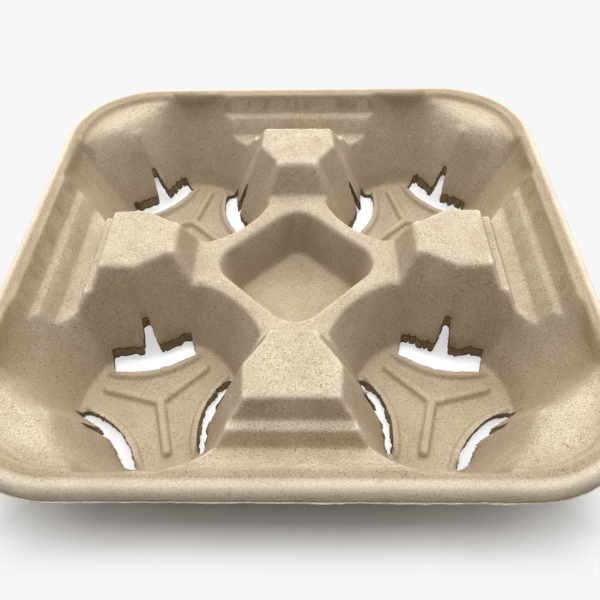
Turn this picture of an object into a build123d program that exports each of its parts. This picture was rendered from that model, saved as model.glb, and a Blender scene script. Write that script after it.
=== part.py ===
from build123d import *
from math import cos, hypot, radians, sin, sqrt, tan
import os

# A moulded pulp carrier for four cups: one thin sheet, formed in a single pull.
# The frame stands on the underside of the well floors, with +Z up and the middle
# of the carrier on the Z axis. "Reach" is a distance from that axis towards a side,
# and a "level" is a height above the underside of the floors. Sizes in plan are
# shares of the width, or of a well's reach, so wells and towers keep their places.

# Whole carrier
width = 215.0              # over the turned-down lip, the same both ways
height = 43.8              # underside of the floors to the crest of the rim
wall = 2.2                 # thickness of the pulp

# Rim and the lip turned down around it
rim_corner = 0.186 * width
lip_round = 4.9            # rounding from the crest down to the lower edge of the lip
lip_bevels = 4             # the rounding is laid out in this many steps
rim_width = 8.7            # lip to the inner edge of the rim
rim_inner_corner = rim_corner - rim_width
rim_inner_draft = 20.0     # slope of the small step inside the rim
shelf_drop = 2.8           # crest to the tops of the towers and corner shelves

# Cup wells, each measured from its own centre, at the floor and at the shelf level
well_reach = 0.2395 * width
lobe_floor = 0.567 * well_reach        # the round lobes
lobe_top = 0.956 * well_reach
chord_floor = 0.4525 * well_reach      # the three flat facets between them
chord_top = 0.7865 * well_reach
keel_floor = 0.394 * well_reach        # the blunt keel down the middle of a facet
keel_top = 0.708 * well_reach
keel_floor_half = 0.2815 * well_reach  # half the keel's width
keel_top_half = 0.262 * well_reach
facet_count = 3
facet_heading = 45.0       # the first facet looks at the corner of the carrier
floor_bevel = 1.6          # foot of the walls

# Punched slots at the foot of each facet
slot_half = 0.3145 * well_reach        # half the slot's length along the facet
slot_top = 8.2             # level of its upper edge on the wall
slot_floor_reach = 0.3105 * well_reach # nearest point of its floor edge to the well's centre
slot_floor_bow = 0.64 * well_reach     # radius of that edge
slit_reach = 0.5495 * well_reach       # tip of the slit that runs up the keel
slit_tip_half = 1.3
slit_neck_reach = 0.4855 * well_reach  # below this the slit flares into the slot
slit_neck_half = 1.8
slit_root_half = 4.2
bead_width = 3.2           # raised bead along the floor edge of a slot
bead_height = 1.2

# Three-armed rib on each floor
arm_length = 0.466 * well_reach        # well's centre to the end of an arm
arm_width = 5.0
arm_height = 1.4
arm_bevel = 1.1

# Pocket in the middle, its walls turned by 45 degrees
pocket_half_diagonal = 0.1675 * width
pocket_corner = 8.0
pocket_floor = 6.2
pocket_draft = 16.5
pocket_floor_bevel = 1.2
pocket_mouth_bevel = 1.8

# Ridges round the pocket and the inner faces of the four towers
ridge_level = 27.1
tower_inner_foot = 0.1885 * width      # reach of the towers' inner faces at the ridges
tower_inner_draft = 24.0

# Stepped trough between each tower and the rim, measured inwards from the rim's inner edge
tower_outer_in = 25.0      # outer edge of the tower's top
tower_shelf_near_in = 21.4 # small shelf on the tower side
tower_shelf_far_in = 18.4
tower_shelf_level = 32.4
valley_near_in = 15.4
valley_far_in = 11.9
valley_level = 25.6
bank_foot_in = 10.7
bank_foot_level = 28.7
bank_shelf_near_in = 6.7
bank_shelf_near_level = 32.8
bank_shelf_far_in = 3.0
bank_shelf_far_level = 35.3
trough_fillet = 1.4

# Softened edges of the sheet, seen from above
tower_bevel = 1.8          # straight edges of the towers' tops
tower_foot_bevel = 1.8     # inner faces of the towers, down onto the ridges
rim_bevel = 1.0            # inner edge of the rim

shelf_level = height - shelf_drop
lip_level = height - lip_round
inner_reach = width / 2 - rim_width
tower_outer = inner_reach - tower_outer_in
over = 5.0                 # how far cutters pass the faces they open
edge_slack = 0.1           # how near an edge lies to the level or outline it is picked by


def lean(draft):
    return tan(radians(draft))


def skin_width(skin, draft):
    """Width in plan of a skin measured square to a wall with this draft."""
    return skin / cos(radians(draft))


def flared(level, at_floor, at_top, skin=0):
    """Reach of a well's wall at one level, grown by a skin measured square to that wall."""
    slope = (at_top - at_floor) / (shelf_level - wall)
    return at_floor + slope * (level - wall) + skin * hypot(1, slope)


def well_outline(level, skin=0):
    """Plan of a well at one level: three keeled facets with a round lobe after each."""
    lobe = flared(level, lobe_floor, lobe_top, skin)
    chord = flared(level, chord_floor, chord_top, skin)
    keel = flared(level, keel_floor, keel_top, skin)
    keel_half = flared(level, keel_floor_half, keel_top_half)
    half_chord = sqrt(lobe**2 - chord**2)
    one_facet = [
        (chord, -half_chord), (chord, -keel_half), (keel, 0), (chord, keel_half), (chord, half_chord)
    ]
    step = 360 / facet_count
    edges = []
    for number in range(facet_count):
        heading = facet_heading + number * step
        points = [Vector(*point).rotate(Axis.Z, heading) for point in one_facet]
        edges += [Line(points[i], points[i + 1]) for i in range(4)]
        crown = Vector(lobe, 0).rotate(Axis.Z, heading + step / 2)
        edges.append(ThreePointArc(points[4], crown, points[0].rotate(Axis.Z, step)))
    return Pos(0, 0, level) * make_face(edges)


def well(skin):
    """The space inside one well. The underside's own well runs out below the floor."""
    bottom = -over if skin else wall
    return loft([well_outline(bottom, skin), well_outline(height + over, skin)], ruled=True)


def slot_punch():
    """Plan of one slot on +X: a floor edge bowed towards the centre, and a slit up the keel."""
    window = Pos(lobe_floor, 0) * Rectangle(2 * lobe_floor, 2 * slot_half)
    bow = Pos(slot_floor_reach + slot_floor_bow, 0) * Circle(slot_floor_bow)
    wall_edge = Pos(0, 0, -slot_top) * Rot(0, 0, -facet_heading) * well_outline(slot_top)
    slit = make_face(Polyline(
        (keel_floor, -slit_root_half),
        (slit_neck_reach, -slit_neck_half),
        (slit_reach, -slit_tip_half),
        (slit_reach, slit_tip_half),
        (slit_neck_reach, slit_neck_half),
        (keel_floor, slit_root_half),
        close=True,
    ))
    return (wall_edge & window & bow) + slit


def slot_bead():
    """The raised edge along the floor side of one slot on +X."""
    centre = slot_floor_reach + slot_floor_bow
    strip = Pos(centre, 0) * Circle(slot_floor_bow + bead_width)
    strip &= Rectangle(2 * centre, 2 * slot_half + 2 * bead_width)
    strip -= Pos(centre, 0) * Circle(slot_floor_bow - bead_width)
    return extrude(strip, bead_height)


def floor_arm():
    """One arm of a floor's rib, from the well's centre out along +X."""
    arm = Box(arm_length, arm_width, arm_height, align=(Align.MIN, Align.CENTER, Align.MIN))
    return chamfer(arm.faces().sort_by(Axis.Z)[-1].edges(), arm_bevel)


def around_well(thing, heading):
    """Copies of a thing made on +X, set round a well at the spacing of its facets."""
    step = 360 / facet_count
    return [Rot(0, 0, heading + n * step) * thing for n in range(facet_count)]


def in_wells(things):
    """Copies of things made for the +X +Y well, moved to it and mirrored to the others."""
    placed = [Pos(well_reach, well_reach, 0) * thing for thing in things]
    placed += [thing.mirror(Plane.YZ) for thing in placed]
    return placed + [thing.mirror(Plane.XZ) for thing in placed]


def trough(skin):
    """The stepped space between one tower and the rim, on the +X side."""
    top = height + over
    bank = [
        (tower_outer, shelf_level),
        (inner_reach - tower_shelf_near_in, tower_shelf_level),
        (inner_reach - tower_shelf_far_in, tower_shelf_level),
        (inner_reach - valley_near_in, valley_level),
        (inner_reach - valley_far_in, valley_level),
        (inner_reach - bank_foot_in, bank_foot_level),
        (inner_reach - bank_shelf_near_in, bank_shelf_near_level),
        (inner_reach - bank_shelf_far_in, bank_shelf_far_level),
        (inner_reach, height),
    ]
    section = make_face(Polyline((tower_outer, top), *bank, (inner_reach, top), close=True))
    if skin:
        section = offset(section, skin, kind=Kind.INTERSECTION)
    bends = [v for v in section.vertices() if v.Y < bank_shelf_far_level + wall / 2]
    section = fillet(bends, trough_fillet)
    upright = Plane(origin=(0, 0, 0), x_dir=(1, 0, 0), z_dir=(0, -1, 0))
    return extrude(upright * section, well_reach, both=True)


def pocket_outline(level, skin=0):
    """Plan of the middle pocket at one level: a square turned by 45 degrees."""
    spread = skin_width(skin, pocket_draft) + (level - ridge_level) * lean(pocket_draft)
    side = pocket_half_diagonal * sqrt(2) + 2 * spread
    return Pos(0, 0, level) * Rot(0, 0, 45) * RectangleRounded(side, side, pocket_corner + spread)


def pocket(skin):
    """The space of the middle pocket."""
    top = ridge_level + over
    return extrude(pocket_outline(top, skin), pocket_floor - skin - top, taper=pocket_draft)


def saddle_outline(level, skin=0):
    """Plan of the inner faces of the four towers at one level."""
    spread = skin_width(skin, tower_inner_draft) + (level - ridge_level) * lean(tower_inner_draft)
    side = 2 * (tower_inner_foot + spread)
    return Pos(0, 0, level) * Rectangle(side, side)


def saddle(skin):
    """The space above the ridges, between the four towers."""
    foot = saddle_outline(ridge_level - skin, skin)
    return extrude(foot, height - ridge_level + skin, taper=-tower_inner_draft)


def rim_outline(level, skin=0):
    """Plan of the rim's inner edge at one level."""
    spread = skin_width(skin, rim_inner_draft) + (level - height) * lean(rim_inner_draft)
    side = 2 * (inner_reach + spread)
    return Pos(0, 0, level) * RectangleRounded(side, side, rim_inner_corner + spread)


def rim_opening(skin):
    """The space above the towers and corner shelves, inside the rim."""
    foot = rim_outline(shelf_level - skin, skin)
    return extrude(foot, shelf_drop + skin + over, taper=-rim_inner_draft)


def hollows(skin):
    """Everything the sheet dips into, seen from above, grown by a skin."""
    troughs = [Rot(0, 0, 90 * turn) * trough(skin) for turn in range(4)]
    return in_wells([well(skin)]) + troughs + [pocket(skin), saddle(skin), rim_opening(skin)]


def blank(skin):
    """The carrier before anything dips into it, the rounding of its lip laid out in bevels."""
    side, corner = width - 2 * skin, rim_corner - skin
    sections = [RectangleRounded(side, side, corner)]
    for step in range(lip_bevels + 1):
        turn = radians(90 * step / lip_bevels)
        inset = (lip_round - skin) * (1 - cos(turn))
        level = height - lip_round + (lip_round - skin) * sin(turn)
        plan = RectangleRounded(side - 2 * inset, side - 2 * inset, corner - inset)
        sections.append(Pos(0, 0, level) * plan)
    return loft(sections, ruled=True)


def creases(body, level):
    """The edges of a body that lie in one level."""
    return body.edges().filter_by_position(Axis.Z, level - edge_slack, level + edge_slack)


def beside(edges, outline):
    """Those edges whose middle lies on the border of an outline in their own level."""
    border = outline.face().outer_wire()
    return edges.filter_by(lambda edge: border.distance_to(edge.center()) < edge_slack)


def softened(body):
    """The upper face's solid with its creases bevelled, one kind after another."""
    body = chamfer(creases(body, wall), floor_bevel)
    body = chamfer(creases(body, pocket_floor), pocket_floor_bevel)
    body = chamfer(beside(creases(body, ridge_level), pocket_outline(ridge_level)), pocket_mouth_bevel)
    body = chamfer(beside(creases(body, ridge_level), saddle_outline(ridge_level)), tower_foot_bevel)
    body = chamfer(beside(creases(body, height), rim_outline(height)), rim_bevel)
    tops = creases(body, shelf_level)
    outer_sides = Pos(0, 0, shelf_level) * Rectangle(2 * tower_outer, 2 * tower_outer)
    return chamfer(beside(tops, saddle_outline(shelf_level)) + beside(tops, outer_sides), tower_bevel)


def sheet():
    """The formed sheet: the upper face's solid less the solid of the space under it."""
    under = blank(wall) + extrude(Rectangle(2 * width, 2 * width), lip_level)
    return softened(blank(0) - hollows(0)) - (under - hollows(wall))


def carrier():
    arms = around_well(floor_arm(), facet_heading + 180 / facet_count)
    beads = around_well(slot_bead(), facet_heading)
    punch = extrude(slot_punch(), 2 * height, both=True)
    body = sheet() + in_wells([Pos(0, 0, wall) * thing for thing in arms + beads])
    body = body - in_wells(arms)
    return body - in_wells(around_well(punch, facet_heading))


os.makedirs("parts", exist_ok=True)
cup_carrier = carrier()
cup_carrier.label = "cup_carrier"
export_step(cup_carrier, "parts/cup_carrier.step")
print(f"cup_carrier: {len(cup_carrier.solids())} solid, {cup_carrier.volume / 1000:.1f} cubic centimetres")
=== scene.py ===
# %% [markdown]
# # A moulded pulp cup carrier
# Waste paper is stirred in water, sucked onto a wire mould, pressed and dried. What comes
# off is one sheet about two millimetres thick that dips into wells, climbs over towers and
# rolls down at the rim. Nothing in it overhangs except the lip, so the upper face can be
# written as one height for each point of the plan. This lesson builds that height, rounds
# it as wet pulp rounds, gives it a thickness, and then spends its care on torn edges and
# on the felted surface.

# %% Load the frame
import math
import bpy
import numpy as np
from mathutils import Matrix, Vector


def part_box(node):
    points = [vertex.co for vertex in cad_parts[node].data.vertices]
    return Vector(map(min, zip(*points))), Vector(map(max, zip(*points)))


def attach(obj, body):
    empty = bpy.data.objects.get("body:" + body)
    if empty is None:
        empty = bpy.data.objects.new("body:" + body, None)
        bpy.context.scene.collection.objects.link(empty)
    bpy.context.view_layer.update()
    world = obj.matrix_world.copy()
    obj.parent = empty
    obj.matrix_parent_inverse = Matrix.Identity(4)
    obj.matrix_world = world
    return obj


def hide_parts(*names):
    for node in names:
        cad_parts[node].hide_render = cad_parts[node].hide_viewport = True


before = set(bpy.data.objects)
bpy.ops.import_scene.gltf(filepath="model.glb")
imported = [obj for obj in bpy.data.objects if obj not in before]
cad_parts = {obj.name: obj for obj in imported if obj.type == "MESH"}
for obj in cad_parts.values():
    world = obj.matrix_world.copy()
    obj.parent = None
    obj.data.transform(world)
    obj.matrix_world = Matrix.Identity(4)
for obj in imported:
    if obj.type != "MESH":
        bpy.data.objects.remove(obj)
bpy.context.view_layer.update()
low, high = (np.array(corner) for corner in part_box("cup_carrier"))
print("carrier box in mm:", np.round((high - low) * 1000, 1))

# %% [markdown]
# ## Sizes
# All lengths here are millimetres, and one factor turns them to Blender's metres at the
# end. Plan distances are measured from the middle of the carrier; "reach" is the distance
# towards a side. The overall size comes from the frame, so the sheet always fits it. A
# slope is how many degrees a wall leans away from upright.

# %% Sizes of the rim
MM = 0.001
half_width = (high[0] - low[0]) / 2 / MM
height = high[2] / MM
wall = 2.2
lip_round = 4.9
rim_corner = 40.0
rim_width = 8.7
rim_inner_corner = 32.0
rim_inner_slope = 20.0
shelf_level = height - 2.8
inner_reach = half_width - rim_width
print(f"sheet {2 * half_width:.0f} by {2 * half_width:.0f} by {height:.1f}, wall {wall}")

# %% Sizes of the wells, towers and pocket
well_reach = 51.5
well_floor_radius = 29.2
well_slope = 27.3
well_limit, well_limit_slope = inner_reach + 1.2, 12.0
facet_floor, facet_slope = 23.3, 23.9
facet_headings = (45.0, 165.0, 285.0)
keel_floor, keel_slope = 20.3, 22.6
keel_floor_half, keel_top_half = 14.0, 11.5

ridge_level = 27.1
tower_inner_foot, tower_inner_slope = 40.5, 24.0
pocket_half_diagonal, pocket_corner = 36.0, 11.5
pocket_floor, pocket_slope = 6.2, 16.5
print("wells", 2 * well_reach, "apart, floors", 2 * well_floor_radius, "across")

# %% [markdown]
# ## The plan grid
# Every field below is one number for each point of a fine square grid. The grid is twice
# as fine as the mesh that will be read from it, which keeps the rounding smooth.

# %% Plan grid
mesh_step = 0.6
field_step = mesh_step / 2
margin = 3.0
field_count = 2 * int((half_width + margin) / field_step) + 1
axis = (np.arange(field_count) - field_count // 2) * field_step
grid_x, grid_y = np.meshgrid(axis, axis, indexing="ij")
print("field grid:", field_count, "points a side")


# %% Measures on the grid
def steepness(slope):
    """Rise for each millimetre of plan, of a wall that leans this many degrees."""
    return 1.0 / math.tan(math.radians(slope))


def rounded_square(x, y, half, corner):
    """Distance outside a square with round corners, negative inside."""
    qx = np.abs(x) - half + corner
    qy = np.abs(y) - half + corner
    outside = np.hypot(np.maximum(qx, 0), np.maximum(qy, 0))
    return outside + np.minimum(np.maximum(qx, qy), 0) - corner


def rising(values, start, end):
    """Share that is none at the start and one from the end on, also when falling."""
    return np.clip((values - start) / (end - start), 0, 1)


def sample(field, x, y):
    """Read a field between its grid points."""
    last = field_count - 1.001
    u = np.clip((x - axis[0]) / field_step, 0, last)
    v = np.clip((y - axis[0]) / field_step, 0, last)
    i, j = u.astype(int), v.astype(int)
    a, b = u - i, v - j
    near = field[i, j] * (1 - b) + field[i, j + 1] * b
    far = field[i + 1, j] * (1 - b) + field[i + 1, j + 1] * b
    return near * (1 - a) + far * a


print("a wall that leans 45 degrees rises", round(steepness(45), 2), "for each millimetre")

# %% [markdown]
# ## Soft random fields
# Nothing made of pulp is quite even, so many steps below need a random field with bumps of
# a known size. White noise is blurred for that, by damping its fine waves. Each field has
# its own seed, so the carrier comes out the same on every run.

# %% Noise and blur
cloud_damping, cloud_spread = 3, 2.5
waves = np.fft.fftfreq(field_count, field_step)
wave_density = np.hypot(waves[:, None], waves[None, :])


def cloudy(seed, size):
    """Soft random field with features of about this size, between about -1 and 1."""
    noise = np.random.default_rng(seed).standard_normal((field_count, field_count))
    damping = np.exp(-(wave_density * size) ** 2 * cloud_damping)
    soft = np.fft.ifft2(np.fft.fft2(noise) * damping).real
    return soft / (cloud_spread * soft.std())


def clouds(*layers):
    """Sum of soft random fields, each given as seed, size and swing."""
    return sum(swing * cloudy(seed, size) for seed, size, swing in layers)


def blurred(field, size):
    """Soften a field with a bell curve of this size."""
    damping = np.exp(-2 * (math.pi * wave_density * size) ** 2)
    return np.fft.ifft2(np.fft.fft2(field) * damping).real


print("finest wave on the grid:", 2 * field_step, "mm")

# %% [markdown]
# ## Wells
# The carrier is the same in all four quarters, so the wells are worked out from the
# absolute values of x and y. A well is a flaring cone whose wall is flattened by three
# facets, and each facet has a blunt keel down its middle that grips the cup. It could be
# lofted through sections, but as heights the cone, facets and keels simply meet: inside a
# well the sheet is as high as the highest of these surfaces.

# %% Distances from a well's middle
ax, ay = np.abs(grid_x), np.abs(grid_y)
well_x, well_y = ax - well_reach, ay - well_reach
well_radius = np.hypot(well_x, well_y)


def turned_axes(heading):
    """Distances ahead and aside of a well's middle, looking along a heading."""
    c, s = math.cos(math.radians(heading)), math.sin(math.radians(heading))
    return well_x * c + well_y * s, well_y * c - well_x * s


facet_axes = [turned_axes(heading) for heading in facet_headings]
print("facets in a well:", len(facet_axes))

# %% Height of a well
cone = wall + (well_radius - well_floor_radius) * steepness(well_slope)
well = np.maximum(wall, cone)
for ahead, aside in facet_axes:
    chord = wall + (ahead - facet_floor) * steepness(facet_slope)
    lift = rising(chord, wall, shelf_level)
    keel_half = keel_floor_half + (keel_top_half - keel_floor_half) * lift
    keel_gap = facet_floor - keel_floor + lift
    bulge = np.clip(1 - np.abs(aside) / keel_half, 0, 1) * keel_gap
    well = np.maximum(well, chord + bulge * steepness(facet_slope))
print("well floor points:", int((well <= wall).sum()))

# %% [markdown]
# ## Troughs, ridges, pocket and rim
# Between each tower and the rim runs a stepped trough, a plain profile drawn along the
# side. The ridges are a flat level between the towers, and the pocket is a square dip
# turned by 45 degrees. Solids could be cut away for them with booleans. Heights do the same
# without a cut that can fail: everything cuts into one blank, so the sheet is as high as
# the lowest of them.

# %% Troughs
trough_profile = [
    (73.8, shelf_level), (77.4, 32.6), (80.4, 32.2), (83.5, 25.6), (87.0, 25.8),
    (inner_reach - 9.3, 27.0), (inner_reach - 5.6, 33.9), (inner_reach - 2.9, 35.3),
    (inner_reach, height),
]
side_reach = np.maximum(ax, ay)
side_offset = np.minimum(ax, ay)
no_cut = 2 * height
reach_stops, level_stops = zip(*trough_profile)
trough = np.interp(side_reach, reach_stops, level_stops, left=no_cut, right=no_cut)
trough = np.where(side_offset < well_reach, trough, no_cut)
print("trough bottom at", round(float(trough.min()), 1))

# %% Ridges, pocket and rim
tower_side = (side_reach - tower_inner_foot) * steepness(tower_inner_slope)
saddle = np.maximum(ridge_level, ridge_level + tower_side)

turned_x, turned_y = (grid_x + grid_y) / math.sqrt(2), (grid_y - grid_x) / math.sqrt(2)
pocket_half = pocket_half_diagonal / math.sqrt(2)
pocket_edge = rounded_square(turned_x, turned_y, pocket_half, pocket_corner)
pocket = np.maximum(pocket_floor, ridge_level + pocket_edge * steepness(pocket_slope))

rim_edge = rounded_square(grid_x, grid_y, inner_reach, rim_inner_corner)
rim = np.maximum(shelf_level, height + rim_edge * steepness(rim_inner_slope))
well_edge = rounded_square(grid_x, grid_y, well_limit, rim_inner_corner)
well = np.maximum(well, height + well_edge * steepness(well_limit_slope))

blank = np.full_like(well, height)
sharp = np.minimum.reduce([blank, rim, well, trough, saddle, pocket])
print("levels run from", round(float(sharp.min()), 1), "to", round(float(sharp.max()), 1))


# %% [markdown]
# ## Rounding with a rolling ball
# Wet pulp bridges inner corners and slumps over outer ones. A ball rolled under the sheet
# and then over it does the same: swelling the field by a ball and shrinking it again fills
# creases, and the other order rounds crests. Both leave flat walls exactly as they were.
# A Bevel modifier would need clean edges to work on, and a field has none.
# The same shrink, done once with a ball of the wall's thickness, gives the underside.

# %% Rolling ball
def rolled(field, radius, direction):
    """Swell (+1) or shrink (-1) a height field by a ball."""
    reach = int(radius / field_step)
    padded = np.pad(field, reach, mode="edge")
    furthest = np.maximum if direction > 0 else np.minimum
    best = None
    for i in range(-reach, reach + 1):
        for j in range(-reach, reach + 1):
            plan = math.hypot(i, j) * field_step
            if plan >= radius:
                continue
            cap = direction * math.sqrt(radius ** 2 - plan ** 2)
            rows = slice(reach + i, reach + i + field_count)
            columns = slice(reach + j, reach + j + field_count)
            moved = padded[rows, columns] + cap
            best = moved if best is None else furthest(best, moved)
    return best


def softened(field, crest_radius, crease_radius):
    """Round crests with one ball and creases with another."""
    crests = rolled(rolled(field, crest_radius, -1), crest_radius, 1)
    return rolled(rolled(crests, crease_radius, 1), crease_radius, -1)


print("a ball as thick as the wall reaches", int(wall / field_step), "grid points")

# %% [markdown]
# The pulp is thick and soft over the towers and pressed crisp in the troughs, so two
# roundings are made and blended. The outer corners of the wells, where the sheet was
# drawn furthest, are softer still and get a blur.

# %% Round the sheet
tower_rounding = 2.7, 2.4
trough_rounding = 1.4, 1.2
corner_blur = 3.2
broad = softened(sharp, *tower_rounding)
fine = softened(sharp, *trough_rounding)
in_trough = rising(side_reach, 71.0, 76.0) * rising(side_offset, well_reach, well_reach - 8.0)
upper = broad * (1 - in_trough) + fine * in_trough

outward = rising(np.minimum(well_x, well_y), 2.0, 14.0) * rising(well_radius, 33.0, 38.0)
outward = outward * rising(-rim_edge, 1.5, 5.5)
upper = upper * (1 - outward) + blurred(upper, corner_blur) * outward
print("rounding moved the sheet by up to", round(float(np.abs(upper - sharp).max()), 2))

# %% [markdown]
# ## Ribs and beads on the floors
# Three arms meet in the middle of each floor and stiffen it. They lie between the facets,
# so each is turned by 60 degrees from one. They are low round humps added to the field.

# %% Arms
arm_length, arm_top, arm_foot, arm_height = 21.6, 0.9, 2.5, 2.1
arm_turn = 60


def hump(distance, top, foot):
    """Section of a rib: one out to its top's half width, and nothing beyond its foot."""
    share = rising(distance, foot, top)
    return share * share * (3 - 2 * share)


arms = np.zeros_like(upper)
for heading in facet_headings:
    along, across = turned_axes(heading + arm_turn)
    distance = np.hypot(along - np.clip(along, 0, arm_length), across)
    arms = np.maximum(arms, hump(distance, arm_top, arm_foot))
upper = upper + arms * arm_height
print("rib points:", int((arms > 0).sum()))

# %% [markdown]
# A raised bead backs the inner edge of each punched slot. The real slots differ a little
# from well to well, so their floor edges and tops come from small tables: a row for the
# left and one for the right wells, and in each the front and the back one.

# %% Slot tables and beads
slot_half = 16.2
slot_bow = 33.0
slot_floor_reach = {
    45.0: ((18.2, 16.2), (18.7, 16.8)),
    165.0: ((17.6, 16.2), (17.6, 15.9)),
    285.0: ((14.8, 15.2), (14.8, 15.2)),
}
slot_top = {
    45.0: ((7.6, 8.2), (7.4, 8.4)),
    165.0: ((3.6, 6.0), (3.8, 6.4)),
    285.0: ((8.5, 8.0), (8.2, 8.0)),
}
bead_top, bead_foot, bead_height = 1.6, 3.3, 2.0
bead_whole, bead_end = 2.0, 5.0


def in_quarters(values):
    """Spread a table of four values, [left, right][front, back], over the grid."""
    return np.array(values)[(grid_x > 0).astype(int), (grid_y > 0).astype(int)]


beads = np.zeros_like(upper)
floor_sides = []
for heading, (ahead, aside) in zip(facet_headings, facet_axes):
    reach = in_quarters(slot_floor_reach[heading])
    floor_sides.append(np.hypot(ahead - reach - slot_bow, aside) - slot_bow)
    distance = np.maximum(floor_sides[-1], np.abs(aside) - slot_half)
    fading = hump(ahead, reach + bead_whole, reach + bead_end)
    beads = np.maximum(beads, hump(distance, bead_top, bead_foot) * fading)
upper = upper + beads * bead_height
print("bead points:", int((beads > 0).sum()))

# %% [markdown]
# Where two parts of the mould meet, a hair-thin line runs round each cone just above the
# slots. It is only drawn where the cone is still the surface, not on facets or keels.

# %% Seam line
seam_level, seam_half_width, seam_height = 9.8, 0.5, 0.28
cone_tolerance = 0.6
seam = hump(np.abs(cone - seam_level) / steepness(well_slope), 0.0, seam_half_width)
upper = upper + seam * (np.abs(upper - cone) < cone_tolerance) * seam_height
print("seam points:", int((seam > 0).sum()))

# %% [markdown]
# ## Unevenness and thickness
# A pulp sheet is never quite flat: it shrinks unevenly as it dries. Slow waves bend the
# walls and finer ones dapple them. The underside follows by one shrink with a ball as
# thick as the wall, so the sheet is as thick on a steep wall as on a floor. The waves may
# thin it where it rests on the table and along its crests, but only down to a share.

# %% Waves and underside
for seed, size, swing in ((3, 16.0, 0.22), (4, 5.0, 0.10), (5, 2.0, 0.05)):
    upper = upper + swing * cloudy(seed, size)
under = rolled(upper, wall, -1) + 0.10 * cloudy(6, 4.0)
floor_share, crest_share = 0.75, 0.7
upper = np.clip(upper, wall * floor_share, height)
under = np.clip(under, 0, height - crest_share * wall)
print("underside from", round(float(under.min()), 2), "to", round(float(under.max()), 2))

# %% [markdown]
# ## Slots
# The slots are punched straight down after drying, so their walls are upright, and on a
# sloping facet the cut shows several millimetres of torn pulp. The outline of a slot is
# kept as a distance field too, negative inside: the facet's own line at one level, a bowed
# edge on the floor, two ends, and a slit that runs up the keel and flares at its foot.
# A ragged random field moves every edge a little, the torn wall most. A boolean could cut
# the slots too, but a distance can be frayed before anything is cut.

# %% Slot distance field
slit_reach, slit_tip, slit_lean = 28.3, 1.25, 0.15
slit_flare, flare_length, flare_limit = 2.3, 1.4, 1.5
slit_overlap = 1.0
wall_tear, end_tear, floor_tear = 0.8, 0.6, 0.5
far_outside = 50.0
ragged = clouds((11, 1.3, 0.36), (12, 4.0, 0.26))

slots = np.full_like(upper, far_outside)
for heading, floor_side, (ahead, aside) in zip(facet_headings, floor_sides, facet_axes):
    rise = in_quarters(slot_top[heading]) - wall
    keel_foot = keel_floor + rise / steepness(keel_slope)
    chord_reach = facet_floor + rise / steepness(facet_slope)
    keel_share = np.clip(1 - np.abs(aside) / keel_floor_half, 0, 1)
    wall_side = ahead - chord_reach + keel_share * (chord_reach - keel_foot) + wall_tear * ragged
    end_side = np.abs(aside) - slot_half + end_tear * ragged
    opening = np.maximum.reduce([wall_side, floor_side + floor_tear * ragged, end_side])

    flare = slit_flare * np.exp(np.minimum(keel_foot - ahead, flare_limit) / flare_length)
    slit_half = slit_tip + slit_lean * (slit_reach - ahead) + flare
    slit_side = np.abs(aside) - slit_half + floor_tear * ragged
    slit_end = ahead - slit_reach + end_tear * ragged
    slit = np.maximum.reduce([slit_side, keel_foot - slit_overlap - ahead, slit_end])
    slots = np.minimum(slots, np.minimum(opening, slit))
print("slotted part of the plan:", round(float((slots < 0).mean()) * 100, 2), "percent")

# %% [markdown]
# ## From fields to a mesh
# The mesh takes every second point of the grid. Points that lie close to an edge are
# pulled onto it along the field's slope, which leaves clean edges without slivers.

# %% Plan points
crest_half = half_width - lip_round
crest_corner = rim_corner - lip_round
outline = rounded_square(grid_x, grid_y, crest_half, crest_corner)
cut = np.maximum(outline, -slots)
slope_x, slope_y = np.gradient(cut, field_step)
least_slope = 0.3
steep = np.maximum(np.hypot(slope_x, slope_y), least_slope)

count = 2 * (int(crest_half / mesh_step) + 2) + 1
line = (np.arange(count) - count // 2) * mesh_step
plan_x, plan_y = (part.ravel() for part in np.meshgrid(line, line, indexing="ij"))
snap_reach, pulls = 0.55 * mesh_step, 3
gap = sample(cut, plan_x, plan_y)
snapped, inside = np.abs(gap) < snap_reach, gap < 0
for again in range(pulls):
    gap = sample(cut, plan_x, plan_y)
    pull = np.where(snapped, gap / sample(steep, plan_x, plan_y) ** 2, 0)
    plan_x = plan_x - pull * sample(slope_x, plan_x, plan_y)
    plan_y = plan_y - pull * sample(slope_y, plan_x, plan_y)
print("points pulled onto an edge:", int(snapped.sum()))

# %% [markdown]
# Each square of the plan becomes two triangles, cut along alternating diagonals so that no
# direction is favoured. Triangles with a corner outside are dropped, and so are those that
# have all corners on an edge but their middle in a hole. The upper and lower faces share
# this plan, so their edges can be joined by walls.

# %% Plan triangles
number = np.arange(count * count).reshape(count, count)
corner_a, corner_b = number[:-1, :-1].ravel(), number[1:, :-1].ravel()
corner_c, corner_d = number[1:, 1:].ravel(), number[:-1, 1:].ravel()
odd = ((corner_a // count + corner_a % count) % 2 == 0)[:, None]
first = np.where(odd, np.c_[corner_a, corner_b, corner_c], np.c_[corner_a, corner_b, corner_d])
second = np.where(odd, np.c_[corner_a, corner_c, corner_d], np.c_[corner_b, corner_c, corner_d])
triangles = np.vstack([first, second])

hole_gap = -0.02
kept = (inside | snapped)[triangles].all(axis=1)
middle_x, middle_y = plan_x[triangles].mean(axis=1), plan_y[triangles].mean(axis=1)
all_snapped = snapped[triangles].all(axis=1)
kept &= ~(all_snapped & (sample(cut, middle_x, middle_y) > hole_gap))
triangles = triangles[kept]
print("plan triangles:", len(triangles))

# %% [markdown]
# ## Edges of the plan
# An edge that belongs to one triangle only is a border. Borders on the crest of the rim
# carry on as the rolled lip; the others are the slots and get an upright torn wall.

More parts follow.
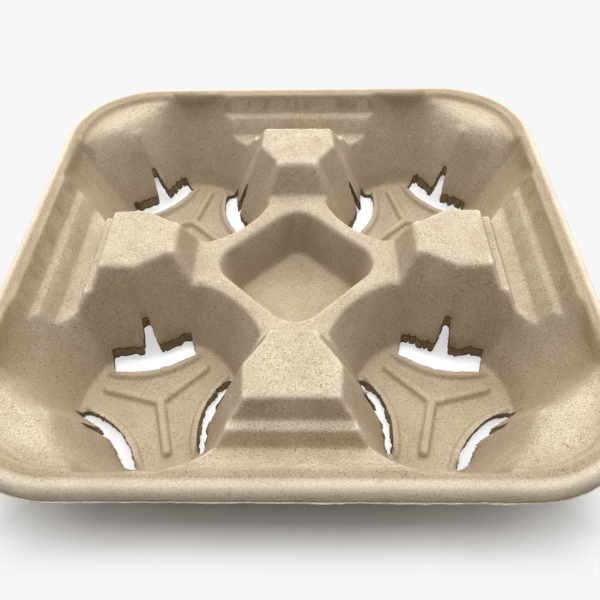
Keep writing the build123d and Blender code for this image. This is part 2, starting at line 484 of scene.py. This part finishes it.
# %% Find the borders
crest_band = 1.0
edges = np.vstack([triangles[:, [0, 1]], triangles[:, [1, 2]], triangles[:, [2, 0]]])
keys = np.sort(edges, axis=1)
keys = keys[:, 0].astype(np.int64) * count * count + keys[:, 1]
_, places, uses = np.unique(keys, return_index=True, return_counts=True)
borders = edges[places[uses == 1]]
border_middle = (plan_x[borders].mean(axis=1), plan_y[borders].mean(axis=1))
on_rim = rounded_square(*border_middle, crest_half, crest_corner) > -crest_band
print("border edges: rim", int(on_rim.sum()), "slots", int((~on_rim).sum()))

# %% Both faces of the sheet
thinnest_edge = 0.6
upper_z = sample(upper, plan_x, plan_y)
under_z = sample(under, plan_x, plan_y)
upper_z = np.maximum(upper_z, under_z + thinnest_edge)
points = [np.c_[plan_x, plan_y, upper_z], np.c_[plan_x, plan_y, under_z]]
faces = [triangles, triangles[:, ::-1] + len(plan_x)]
SHEET_FACE, TORN_FACE, EDGE_SHADE_FACE = 0, 1, 2
finishes = [np.full(2 * len(triangles), SHEET_FACE)]
print("triangles on both faces:", 2 * len(triangles))

# %% [markdown]
# ## Joining the faces
# A strip joins the upper and the lower end of a border through rows of points in between.
# The rows of a slot wall and of the lip are worked out by two functions further down. The
# first and last strip of a slot wall get a finish of their own, a painted shade line at the edge.


# %% Strips
def add_strip(border, rows, finish):
    """Join the upper and lower ends of a border through rows of points in between."""
    own = np.unique(border)
    lookup = np.full(len(plan_x), -1)
    lookup[own] = np.arange(len(own))
    levels = [own]
    for row in rows(own):
        levels.append(sum(map(len, points)) + np.arange(len(own)))
        points.append(row)
    levels.append(own + len(plan_x))
    a, b = lookup[border[:, 0]], lookup[border[:, 1]]
    for depth, (above, below) in enumerate(zip(levels[:-1], levels[1:])):
        at_edge = finish == TORN_FACE and depth in (0, len(levels) - 2)
        faces.append(np.c_[above[b], above[a], below[a]])
        faces.append(np.c_[above[b], below[a], below[b]])
        finishes.append(np.full(2 * len(border), EDGE_SHADE_FACE if at_edge else finish))


print("points on both faces:", sum(map(len, points)))

# %% [markdown]
# ## Torn slot walls
# The punch tears rather than cuts, so the rows of points down a slot's wall wander in and
# out. A tall wall also leans as a whole, where the pulp tore off at a slant. A low one, on
# a floor, keeps a burr along its lower edge, and only the slots nearest the front have it.
# Displacement could roughen finished walls, but it would open gaps at their borders.

# %% Torn walls
fray = [cloudy(21, 1.0), cloudy(22, 1.3), cloudy(23, 1.0)]
fray_depths, fray_swing, fray_level = (0.15, 0.5, 0.85), 0.22, 0.1
flap = clouds((24, 3.0, 0.5), (25, 1.2, 0.3))
low_wall, tall_wall = 3.2, 4.7
burr_mean, burr_swing, burr_most = 0.75, 1.3, 1.6
burr_start, burr_whole, burr_side, side_burr = -34.0, -38.0, 48.0, 0.4


def slot_rows(own):
    """Rows of points down the torn wall of the slots."""
    x, y = plan_x[own], plan_y[own]
    top, bottom = upper_z[own], under_z[own]
    out_x, out_y = sample(slope_x, x, y), sample(slope_y, x, y)
    tall = rising(top - bottom, low_wall, tall_wall)
    in_front = rising(y, burr_start, burr_whole) * np.where(np.abs(x) < burr_side, 1.0, side_burr)
    burr = np.clip(burr_mean + burr_swing * sample(flap, y, x), 0, burr_most) * in_front
    droop = sample(flap, x, y) * tall + burr * (1 - tall)
    rows = []
    for share, noise in zip(fray_depths, fray):
        shift = fray_swing * sample(noise, x, y) + share * droop
        level = top * (1 - share) + bottom * share + fray_level * sample(noise, y, x)
        rows.append(np.c_[x + out_x * shift, y + out_y * shift, level])
    points[1][own, 0] += out_x * droop
    points[1][own, 1] += out_y * droop
    return rows


print("slot wall seeds:", len(fray), "and flaps up to", round(float(flap.max()), 1), "mm")

# %% [markdown]
# ## The rolled lip
# The lip is a quarter round that ends in a rough lower edge, uneven along its length. Pulp
# squeezed out between the two halves of the press leaves a thin flash there, which catches
# the light as a pale line. Inside, a smaller quarter round leads back under the crest. On
# the rim's straight sides the rows go straight out, and round its corners they fan out. A
# section swept along a curve would do as well, but rows that start from the sheet's own
# border leave no gap to close.

# %% Rolled lip
edge_wave = clouds((31, 9.0, 0.30), (32, 2.4, 0.24), (33, 1.0, 0.16))
flash_width, flash_mean, flash_swing, flash_least = 0.7, 0.75, 0.5, 0.3
lump_size, lump_drop, tuck = 0.25, 0.4, 0.3
flash_top, flash_foot = 0.1, 0.5
foot_shares, foot_rise = (0.3, 0.6, 0.85), 0.3
lip_turns, lip_step = 9, 10
inner_turns, inner_step = 8, 11
tiny = 1e-6


def lip_rows(own):
    """Rows of points over the lip, round its rough edge and back underneath."""
    x, y = plan_x[own], plan_y[own]
    straight = crest_half - crest_corner
    qx = np.maximum(np.abs(x) - straight, 0)
    qy = np.maximum(np.abs(y) - straight, 0)
    length = np.maximum(np.hypot(qx, qy), tiny)
    out_x, out_y = np.sign(x) * qx / length, np.sign(y) * qy / length
    x = np.clip(x, -straight, straight) + out_x * crest_corner
    y = np.clip(y, -straight, straight) + out_y * crest_corner
    rough = sample(edge_wave, x, y)
    rows = []
    for turn in range(1, lip_turns + 1):
        angle = math.radians(lip_step * turn)
        lump = lump_size * rough * math.sin(angle) ** 3
        out = (lip_round - flash_width) * math.sin(angle)
        level = height - lip_round + lip_round * math.cos(angle)
        level = level - lump_drop * lump - tuck * (turn == lip_turns)
        rows.append(np.c_[x + out_x * out, y + out_y * out, level])

    flash = flash_mean + flash_swing * sample(edge_wave, y, x)
    flash = flash_width * np.clip(flash, flash_least, 1.0)
    base = height - lip_round - rough
    for drop in (flash_top, flash_foot):
        out = lip_round - flash_width + flash
        rows.append(np.c_[x + out_x * out, y + out_y * out, base - drop])
    for share in foot_shares:
        out = lip_round - wall * share
        rows.append(np.c_[x + out_x * out, y + out_y * out, base - flash_foot + foot_rise * share])

    inner_round = lip_round - wall
    for turn in range(inner_turns, 0, -1):
        angle = math.radians(inner_step * turn)
        out = inner_round * math.sin(angle)
        level = height - lip_round + inner_round * math.cos(angle)
        rows.append(np.c_[x + out_x * out, y + out_y * out, np.full(len(x), level)])
    return rows


add_strip(borders[on_rim], lip_rows, SHEET_FACE)
add_strip(borders[~on_rim], slot_rows, TORN_FACE)
points, faces, finishes = np.vstack(points), np.vstack(faces), np.concatenate(finishes)
points[:, :2] = np.clip(points[:, :2], -half_width, half_width)
points[:, 2] = np.clip(points[:, 2], 0, height)
print("all triangles before thinning:", len(faces))


# %% [markdown]
# ## Meshes from arrays
# Half a million triangles are too many to hand over one by one, so each list is passed to
# Blender as one flat array. Modifiers are turned into plain mesh by reading the evaluated
# object back.

# %% Mesh helpers
def plain_mesh(name, corners, sides, finish_numbers, materials):
    """Make an object from points, triangles and a material number for each triangle."""
    used = np.unique(sides)
    renumber = np.full(len(corners), -1)
    renumber[used] = np.arange(len(used))
    mesh = bpy.data.meshes.new(name)
    mesh.vertices.add(len(used))
    mesh.vertices.foreach_set("co", (corners[used] * MM).astype(np.float32).ravel())
    mesh.loops.add(sides.size)
    mesh.loops.foreach_set("vertex_index", renumber[sides].astype(np.int32).ravel())
    mesh.polygons.add(len(sides))
    mesh.polygons.foreach_set("loop_start", np.arange(0, sides.size, 3, dtype=np.int32))
    mesh.polygons.foreach_set("use_smooth", np.ones(len(sides), dtype=bool))
    for material in materials:
        mesh.materials.append(material)
    mesh.polygons.foreach_set("material_index", finish_numbers.astype(np.int32))
    mesh.update(calc_edges=True)
    mesh.validate()
    piece = bpy.data.objects.new(name, mesh)
    bpy.context.collection.objects.link(piece)
    return piece


def bake_modifiers(piece):
    """Turn a piece's modifiers into its plain mesh."""
    graph = bpy.context.evaluated_depsgraph_get()
    baked = bpy.data.meshes.new_from_object(piece.evaluated_get(graph))
    piece.modifiers.clear()
    piece.data = baked
    return baked


print("points to hand over:", len(points))


# %% [markdown]
# ## Adding shader nodes
# One small function adds a node with its settings and links. An input is named, with its
# blanks written as underscores, or given by number, as i0, where several share a name.
# Another function turns the usual hex colours, which are sRGB, into the linear values that
# a shader works in.

# %% Node helpers
def linear(code):
    """Linear colour of a hex code."""
    parts = [int(code[i:i + 2], 16) / 255 for i in (1, 3, 5)]
    return [p / 12.92 if p <= 0.04045 else ((p + 0.055) / 1.055) ** 2.4 for p in parts] + [1.0]


def add_node(tree, kind, settings=None, **inputs):
    """Add a node; settings are its own properties, inputs are values or sockets to link."""
    node = tree.nodes.new(kind)
    for key, value in (settings or {}).items():
        setattr(node, key, value)
    for key, value in inputs.items():
        by_number = key[0] == "i" and key[1:].isdigit()
        socket = node.inputs[int(key[1:]) if by_number else key.replace("_", " ")]
        if isinstance(value, bpy.types.NodeSocket):
            tree.links.new(value, socket)
        else:
            socket.default_value = value
    return node


def new_material(name):
    """A material with an empty node tree, and that tree."""
    material = bpy.data.materials.new(name)
    material.use_nodes = True
    material.node_tree.nodes.clear()
    return material, material.node_tree


print("mid grey #808080 is", round(linear("#808080")[0], 3), "in linear light")


# %% [markdown]
# ## Where a point lies on the rim
# The tones of the rim have to follow its round corners. So how far out a point lies is
# measured with rounded squares, as the outline of the sheet is: the part of x and y beyond
# the straight sides, taken together as a length.

# %% Reach by rounded squares
def rim_reach(tree, place):
    """Socket with the distance of a point from the middle, round the rim's corners."""
    straight = (half_width - rim_corner) * MM
    steps = (
        ("ABSOLUTE", {}),
        ("MULTIPLY_ADD", {"i1": (1.0, 1.0, 0.0), "i2": (-straight, -straight, 0.0)}),
        ("MAXIMUM", {"i1": (0.0, 0.0, 0.0)}),
    )
    for operation, values in steps:
        place = add_node(tree, "ShaderNodeVectorMath", {"operation": operation},
                         i0=place, **values).outputs[0]
    beyond = add_node(tree, "ShaderNodeVectorMath", {"operation": "LENGTH"}, i0=place)
    return add_node(tree, "ShaderNodeMath", {"operation": "ADD"},
                    i0=beyond.outputs["Value"], i1=straight).outputs[0]


print("straight part of a side:", round(2 * (half_width - rim_corner), 1), "mm")

# %% [markdown]
# ## Moulded pulp
# Unbleached recycled pulp is a felt of short fibres: dull, warm beige, with darker flecks
# of print and bark and slow clouds where the stock was uneven. It has no gloss, so
# roughness is near one. Fibres are a few hundredths of a millimetre thick, too fine to
# show here, so the felt is drawn at a third of a millimetre. A picture of pulp could be
# laid on, but noise on Object coordinates needs no unwrapping and shows no seams.
#
# Tones that follow the shape are laid one over the other below, and they are painted light
# and shade: crests are paler, partly from wear and partly as a painted highlight, and more
# so high up; steep walls get painted shade, and the depths of the wells the darkest painted
# shade; the rim gets painted shade and its lip a painted highlight. Each is a colour mixed
# in by a share that runs between two values of some measure.

# %% Felted material
fleck_size, cloud_size = 0.8 * MM, 12 * MM
felt_stops = 0.28, 0.67
# Pale colours: wear and painted highlight on the crests, painted highlight on the lip.
crest_wear_and_highlight, lip_highlight = "#f3ecdb", "#efe5cf"


def felted(name, dark, pale, fleck, felt_size, grain, depth, wear_and_highlight):
    """Material of felted fibre; its last argument is how pale its crests are made by wear
    and painted highlight, and its lip by painted highlight.
    """
    material, tree = new_material(name)
    place = add_node(tree, "ShaderNodeTexCoord").outputs["Object"]
    felt, flecks, drift = (
        add_node(tree, "ShaderNodeTexNoise", Vector=place, Scale=1 / size, Detail=detail,
                 Roughness=rough).outputs["Fac"]
        for size, detail, rough in ((felt_size, 3.0, grain), (fleck_size, 2.0, 0.6),
                                    (cloud_size, 4.0, 0.6)))
    tone = add_node(tree, "ShaderNodeValToRGB", Fac=felt)
    for element, stop, code in zip(tone.color_ramp.elements, felt_stops, (dark, pale)):
        element.position, element.color = stop, linear(code)
    colour = tone.outputs["Color"]

    shape = add_node(tree, "ShaderNodeNewGeometry").outputs
    facing_up = add_node(tree, "ShaderNodeSeparateXYZ", Vector=shape["Normal"]).outputs["Z"]
    level = add_node(tree, "ShaderNodeSeparateXYZ", Vector=place).outputs["Z"]
    reach = rim_reach(tree, place)
    # Shares of the painted tones: the crest highlight grows with height, and the rim's painted
    # shade and the lip's painted highlight follow the reach.
    crest_wear_and_highlight_share, rim_shade_share, lip_highlight_share = (
        add_node(tree, "ShaderNodeMapRange", Value=measure, From_Min=start * MM,
                 From_Max=end * MM, To_Min=before, To_Max=after).outputs["Result"]
        for measure, start, end, before, after in (
            (level, 10, 26, 0.15 * wear_and_highlight, wear_and_highlight), (reach, 102.0, 104.0, 0.52, 0.0),
            (reach, 104.6, 107.0, 0.62 * wear_and_highlight, 0.1 * wear_and_highlight)))
    layers = (
        (flecks, 0.60, 0.68, 0.0, 0.62, fleck),                            # print and bark
        (drift, 0.35, 0.65, 0.0, 0.24, dark),                              # uneven stock
        (shape["Pointiness"], 0.515, 0.575, 0.0, crest_wear_and_highlight_share, crest_wear_and_highlight),   # wear and painted highlight on crests
        (facing_up, 0.25, 0.85, 0.45, 0.0, dark),                          # painted shade on steep walls
        (level, 4 * MM, 40 * MM, 0.34, 0.0, dark),                         # painted shade in the depths
        (reach, 92 * MM, 100 * MM, 0.0, rim_shade_share, dark),                 # painted shade on the rim
        (reach, 102.0 * MM, 104.4 * MM, 0.0, lip_highlight_share, lip_highlight),        # painted highlight on the lip
    )
    for measure, start, end, before, after, code in layers:
        share = add_node(tree, "ShaderNodeMapRange", Value=measure, From_Min=start,
                         From_Max=end, To_Min=before, To_Max=after).outputs["Result"]
        colour = add_node(tree, "ShaderNodeMix", {"data_type": "RGBA"}, Factor=share,
                          i6=colour, i7=linear(code)).outputs[2]

    relief = add_node(tree, "ShaderNodeBump", Height=felt, Strength=0.7, Distance=depth)
    shader = add_node(tree, "ShaderNodeBsdfPrincipled", Base_Color=colour, Roughness=0.95,
                      Specular_IOR_Level=0.2, Normal=relief.outputs["Normal"])
    add_node(tree, "ShaderNodeOutputMaterial", Surface=shader.outputs["BSDF"])
    return material


print("flecks", round(fleck_size / MM, 1), "mm and clouds", round(cloud_size / MM), "mm")

# %% [markdown]
# Three finishes come from it. The sheet itself is pressed and dried against the mould.
# Torn pulp is the open inside of the sheet, darker and coarser, with no paler crests or lip.
# Along both edges of a slot a darker copy of the pulp paints a line of shade, and the eye
# reads that thin dark line as the thickness of the sheet.

# %% Pulp finishes
pulp = felted("moulded_pulp", dark="#7a6547", pale="#dcd1bb", fleck="#5a4a33",
              felt_size=0.33 * MM, grain=0.7, depth=0.3 * MM, wear_and_highlight=0.72)
torn = felted("torn_pulp", dark="#5d4a30", pale="#c9b48e", fleck="#3a2c1b",
              felt_size=0.7 * MM, grain=0.8, depth=0.5 * MM, wear_and_highlight=0.0)
# Painted shade along both edges of the slots.
edge_shade = felted("painted_edge_shade", dark="#44351f", pale="#927b56", fleck="#2a1f12",
               felt_size=0.8 * MM, grain=0.8, depth=0.4 * MM, wear_and_highlight=0.0)
print("pulp material nodes:", len(pulp.node_tree.nodes))


# %% [markdown]
# ## Loose fibres
# Two crops of fibres come from one Geometry Nodes tree: short ones that stand out of the
# torn slot walls, and a few long ones that lie felted into the upper face. Hair particles
# could grow them too, but a tree keeps all their sizes as named inputs. The tree scatters
# points over a surface, stands a bent tube on each and turns it at random. Its
# last two nodes make the copies real and give them their material, because the export
# takes real mesh. A single fibre would be too fine to show here, so each tube is drawn
# coarser, a little over a tenth of a millimetre across, as a small bundle would be.

# %% Fibre tree
def fibre_tree(name):
    """Tree that grows fibres on a surface, with named inputs for their sizes."""
    tree = bpy.data.node_groups.new(name, "GeometryNodeTree")
    face = tree.interface
    for socket, kind in (("Geometry", "Geometry"), ("Density", "Float"), ("Length", "Float"),
                         ("Thickness", "Float"), ("Tilt", "Float"), ("Seed", "Int"),
                         ("Material", "Material")):
        face.new_socket(socket, in_out="INPUT", socket_type="NodeSocket" + kind)
    face.new_socket("Geometry", in_out="OUTPUT", socket_type="NodeSocketGeometry")
    given = add_node(tree, "NodeGroupInput").outputs
    spots = add_node(tree, "GeometryNodeDistributePointsOnFaces", Mesh=given["Geometry"],
                     Density=given["Density"], Seed=given["Seed"])

    half, back, leaning = (
        add_node(tree, "ShaderNodeMath", {"operation": "MULTIPLY"}, i0=source, i1=factor)
        for source, factor in ((given["Length"], 0.5), (given["Length"], -0.5),
                               (given["Tilt"], -1.0)))
    ends = {"Start": {"X": back.outputs[0]}, "Middle": {"Y": half.outputs[0]},
            "End": {"X": half.outputs[0]}}
    bend = {end: add_node(tree, "ShaderNodeCombineXYZ", **place).outputs[0]
            for end, place in ends.items()}
    curve = add_node(tree, "GeometryNodeCurveQuadraticBezier", Resolution=3, **bend)
    section = add_node(tree, "GeometryNodeCurvePrimitiveCircle", Resolution=3,
                       Radius=given["Thickness"])
    fibre = add_node(tree, "GeometryNodeCurveToMesh", Curve=curve.outputs[0],
                     i1=section.outputs[0])

    lowest = add_node(tree, "ShaderNodeCombineXYZ", X=leaning.outputs[0],
                      Y=leaning.outputs[0], Z=0.0).outputs[0]
    highest = add_node(tree, "ShaderNodeCombineXYZ", X=given["Tilt"], Y=given["Tilt"],
                       Z=math.tau).outputs[0]
    spin = add_node(tree, "FunctionNodeRandomValue", {"data_type": "FLOAT_VECTOR"},
                    i0=lowest, i1=highest)
    spin = add_node(tree, "FunctionNodeEulerToRotation", Euler=spin.outputs[0]).outputs[0]
    turned = add_node(tree, "FunctionNodeRotateRotation", {"rotation_space": "LOCAL"},
                      i0=spots.outputs["Rotation"], i1=spin)
    size = add_node(tree, "FunctionNodeRandomValue", {"data_type": "FLOAT"}, i2=0.5, i3=1.3)
    crop = add_node(tree, "GeometryNodeInstanceOnPoints", Points=spots.outputs["Points"],
                    Instance=fibre.outputs[0], Rotation=turned.outputs[0],
                    Scale=size.outputs[1])

    real = add_node(tree, "GeometryNodeRealizeInstances", Geometry=crop.outputs[0])
    coloured = add_node(tree, "GeometryNodeSetMaterial", Geometry=real.outputs[0],
                        Material=given["Material"])
    add_node(tree, "NodeGroupOutput", Geometry=coloured.outputs[0])
    return tree


fibres = fibre_tree("loose_fibres")
print("fibre tree nodes:", len(fibres.nodes))


# %% [markdown]
# The modifier's inputs are set by the identifier of each socket, before the object is
# evaluated for the first time. Fibres that would stick out of the carrier's box are
# pressed flat against it.

# %% Growing fibres
def grow_fibres(name, base_faces, material, **values):
    """Grow fibres on some faces of the sheet and leave them as a plain mesh."""
    piece = plain_mesh(name, points, base_faces, np.zeros(len(base_faces)), (material,))
    grown = piece.modifiers.new("fibres", "NODES")
    grown.node_group = fibres
    values["Material"] = material
    for item in fibres.interface.items_tree:
        if item.in_out == "INPUT" and item.name in values:
            grown[item.identifier] = values[item.name]
    mesh = bake_modifiers(piece)
    places = np.empty(3 * len(mesh.vertices), dtype=np.float32)
    mesh.vertices.foreach_get("co", places)
    places = np.clip(places.reshape(-1, 3), low, high).astype(np.float32)
    mesh.vertices.foreach_set("co", places.ravel())
    mesh.update()
    return piece


torn_faces = faces[finishes == TORN_FACE]
upper_faces = triangles[::3]
print("faces to grow on: torn", len(torn_faces), "upper", len(upper_faces))

# %% [markdown]
# ## Thinning the sheet
# The full mesh spends as many triangles on flat floors as on round crests. Decimate
# collapses edges where the surface is flat and leaves them where it bends. Edges sharper
# than the angle below are then shaded sharp, which are those of the cuts.

# %% Build and thin the sheet
triangle_limit = 158000
cut_angle = 58
sheet = plain_mesh("pulp_sheet", points, faces, finishes, (pulp, torn, edge_shade))
thin = sheet.modifiers.new("thin", "DECIMATE")
thin.ratio = triangle_limit / len(faces)
bake_modifiers(sheet)
sheet.data.set_sharp_from_angle(angle=math.radians(cut_angle))
print("sheet triangles:", len(sheet.data.polygons))

# %% [markdown]
# ## Growing the fibres and handing over
# Torn fibres lean every way. Stray ones lie nearly flat and are as long as good paper
# fibre gets. Density is a count for each square metre. All three pieces stand for the one
# solid of the frame, so each replaces it and rides on the body that carries it.

# %% Fibres and hand-over
frayed = grow_fibres("torn_fibres", torn_faces, torn,
                     Density=420000.0, Length=1.5 * MM, Thickness=0.07 * MM, Tilt=1.3, Seed=5)
stray = grow_fibres("stray_fibres", upper_faces, pulp,
                    Density=90000.0, Length=2.4 * MM, Thickness=0.06 * MM, Tilt=0.07, Seed=9)
for piece in (sheet, frayed, stray):
    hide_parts("cup_carrier")
    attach(piece, "root")
    piece.data.calc_loop_triangles()
    print(piece.name, len(piece.data.loop_triangles), "triangles")


# %% [markdown]
# ## What the camera sees of the ground
# The carrier stands on a pale painted board that runs on into a pale world. The board is
# one plain colour for the light that falls on the carrier. Only rays that show it as a
# background, straight or in a gloss or glass, see it brighter or darker with its distance
# from the carrier, a painted shadow and painted light laid over the real shadow: that sets
# how soft and wide the shadow looks. Under the carrier it glows as painted light, so the
# ground seen through the slots is pale, and further out it fades into one even glow, the
# same as the world's. Each stop below is a distance from the middle, in metres, and a
# level there.

# %% Background rays and levels
lit_reach = 0.15
# Painted shadow and light on the board: gains of its lit colour, and shares of a glow that is no
# lamp.
floor_gains = [(0.0, 1.7), (0.03, 1.7), (0.078, 1.0), (0.088, 0.95), (0.096, 1.1),
               (0.104, 1.25), (0.112, 1.2), (lit_reach, 1.0)]
glow_shares = [(0.0, 0.6), (0.082, 0.6), (0.090, 0.02), (0.0958, 0.08), (0.0993, 0.12),
               (0.1043, 0.2), (0.109, 0.54), (0.1152, 1.0), (lit_reach, 1.0)]
most_gain = floor_gains[0][1]
pale_level = 0.93


def seen_directly(tree):
    """One for rays that show the background: from the camera, a gloss or a glass."""
    rays = add_node(tree, "ShaderNodeLightPath").outputs
    seen = rays["Is Camera Ray"]
    for other in ("Is Glossy Ray", "Is Transmission Ray"):
        seen = add_node(tree, "ShaderNodeMath", {"operation": "MAXIMUM"},
                        i0=seen, i1=rays[other]).outputs[0]
    return seen


print("background level", pale_level, "of white")


# %% [markdown]
# ## The board
# Two measures correct the ramp. Towards the corners the board is darker, a painted shade
# where two sides of the carrier shade it. Beside and behind the carrier it is turned down,
# or the board would show a bright square from behind. More lamps could even it out, but
# they would also change the light on the pulp. The board lies a hair below the carrier's
# feet, so that the two never share a plane. A colour ramp holds no level above one, so the
# gains are stored as shares of the largest and multiplied by it afterwards.

# %% Painted board
board_half_size, board_drop = 4.0, -0.1 * MM
corner_start, corner_end, corner_gain = 45 * MM, 85 * MM, 0.66
front_edge, back_edge, back_gain = -80 * MM, -20 * MM, 0.68
under_edge, outer_edge = 82 * MM, 90 * MM


def painted_board():
    """The ground: a plain board that background rays see by its own ramp, with painted shadow and
    light.
    """
    mesh = bpy.data.meshes.new("floor")
    mesh.from_pydata([(x * board_half_size, y * board_half_size, board_drop)
                      for x, y in ((-1, -1), (1, -1), (1, 1), (-1, 1))], [], [(0, 1, 2, 3)])
    board = bpy.data.objects.new("floor", mesh)
    bpy.context.collection.objects.link(board)
    material, tree = new_material("painted_board")
    mesh.materials.append(material)

    # Matt emulsion on board: no gloss at all, so the shadow lies on it undisturbed.
    paint = add_node(tree, "ShaderNodeBsdfDiffuse", Color=linear("#ececee"))
    place = add_node(tree, "ShaderNodeTexCoord").outputs["Object"]
    sides = add_node(tree, "ShaderNodeVectorMath", {"operation": "ABSOLUTE"}, i0=place)
    sides = add_node(tree, "ShaderNodeSeparateXYZ", Vector=sides.outputs[0]).outputs
    reach, aside = (
        add_node(tree, "ShaderNodeMath", {"operation": operation},
                 i0=sides["X"], i1=sides["Y"]).outputs[0]
        for operation in ("MAXIMUM", "MINIMUM"))
    share = add_node(tree, "ShaderNodeMath", {"operation": "DIVIDE"}, i0=reach, i1=lit_reach)
    levels = []
    for stops, most in ((floor_gains, most_gain), (glow_shares, 1.0)):
        ramp = add_node(tree, "ShaderNodeValToRGB", Fac=share.outputs[0])
        for stop, level in stops[1:-1]:
            ramp.color_ramp.elements.new(stop / lit_reach)
        for element, (stop, level) in zip(ramp.color_ramp.elements, stops):
            element.position, element.color = stop / lit_reach, [level / most] * 3 + [1.0]
        levels.append(ramp.outputs["Color"])
    gain, glow = levels

    depth = add_node(tree, "ShaderNodeSeparateXYZ", Vector=place).outputs["Y"]
    corner = add_node(tree, "ShaderNodeMapRange", Value=aside, From_Min=corner_start,
                      From_Max=corner_end, To_Min=most_gain, To_Max=corner_gain * most_gain)
    behind = add_node(tree, "ShaderNodeMapRange", Value=depth, From_Min=front_edge,
                      From_Max=back_edge, To_Min=1.0, To_Max=back_gain)
    around = add_node(tree, "ShaderNodeMapRange", Value=reach, From_Min=under_edge,
                      From_Max=outer_edge, To_Min=1.0, To_Max=behind.outputs["Result"])
    for factor in (corner, around):
        gain = add_node(tree, "ShaderNodeMath", {"operation": "MULTIPLY"},
                        i0=gain, i1=factor.outputs["Result"]).outputs[0]

    lit = add_node(tree, "ShaderNodeBsdfDiffuse", Color=gain)
    pale = add_node(tree, "ShaderNodeEmission", Color=linear("#ffffff"), Strength=pale_level)
    shown = add_node(tree, "ShaderNodeMixShader", Fac=glow,
                     i1=lit.outputs[0], i2=pale.outputs[0])
    either = add_node(tree, "ShaderNodeMixShader", Fac=seen_directly(tree),
                      i1=paint.outputs[0], i2=shown.outputs[0])
    add_node(tree, "ShaderNodeOutputMaterial", Surface=either.outputs[0])
    return board


floor = painted_board()
print("board", 2 * board_half_size, "metres square")

# %% [markdown]
# ## Light
# Pulp shows its form by soft light from above and a little behind, as under a skylight.
# One broad lamp hangs over the carrier and a second stands behind it, which leaves the
# near sides of the towers in shade. Two weak ones open the side walls. A dim pale world
# keeps the deepest corners from going black.

# %% Lamps
lamps = {
    "key_lamp": ((0.0, 0.03, 0.8), (1.5, 0.7), 11.2),
    "back_lamp": ((0.0, 0.8, 0.8), (1.6, 0.5), 10.0),
    "left_lamp": ((-0.7, 0.35, 0.5), (0.4, 0.6), 1.4),
    "right_lamp": ((0.7, 0.35, 0.5), (0.4, 0.6), 1.8),
}
for name, (place, (width, depth), watts) in lamps.items():
    lamp = bpy.data.lights.new(name, "AREA")
    lamp.shape, lamp.size, lamp.size_y, lamp.energy = "RECTANGLE", width, depth, watts
    holder = bpy.data.objects.new(name, lamp)
    holder.location = place
    to_carrier = Vector((0, 0, 0)) - Vector(place)
    holder.rotation_euler = to_carrier.to_track_quat("-Z", "Y").to_euler()
    bpy.context.collection.objects.link(holder)
print("lamps:", len(lamps))

# %% World
world_level = 0.14
world = bpy.data.worlds.new("studio")
bpy.context.scene.world = world
world.use_nodes = True
tree = world.node_tree
tree.nodes.clear()
soft, pale = (add_node(tree, "ShaderNodeBackground", Color=linear("#ffffff"), Strength=level)
              for level in (world_level, pale_level))
either = add_node(tree, "ShaderNodeMixShader", Fac=seen_directly(tree),
                  i1=soft.outputs[0], i2=pale.outputs[0])
add_node(tree, "ShaderNodeOutputWorld", Surface=either.outputs[0])
print("world nodes:", len(tree.nodes))

# %% [markdown]
# ## Camera
# The camera stands close in front and looks down at about 48 degrees, which makes the near
# rim large and the far one small, as when someone bends over the carrier.

# %% Camera
camera_place = Vector((0.00673, -0.18125, 0.2064))
camera_yaw, camera_pitch, camera_roll = -1.77, 48.25, 1.49
camera_data = bpy.data.cameras.new("camera")
camera_data.lens, camera_data.sensor_width = 37.7, 36.0
camera = bpy.data.objects.new("camera", camera_data)
turn = (Matrix.Rotation(math.radians(-camera_yaw), 4, "Z")
        @ Matrix.Rotation(math.radians(90 - camera_pitch), 4, "X")
        @ Matrix.Rotation(math.radians(-camera_roll), 4, "Z"))
camera.matrix_world = Matrix.Translation(camera_place) @ turn
bpy.context.collection.objects.link(camera)
bpy.context.scene.camera = camera
bpy.context.scene.view_settings.view_transform = "Standard"
print("camera", round(camera_place.length, 3), "metres from the carrier's foot")
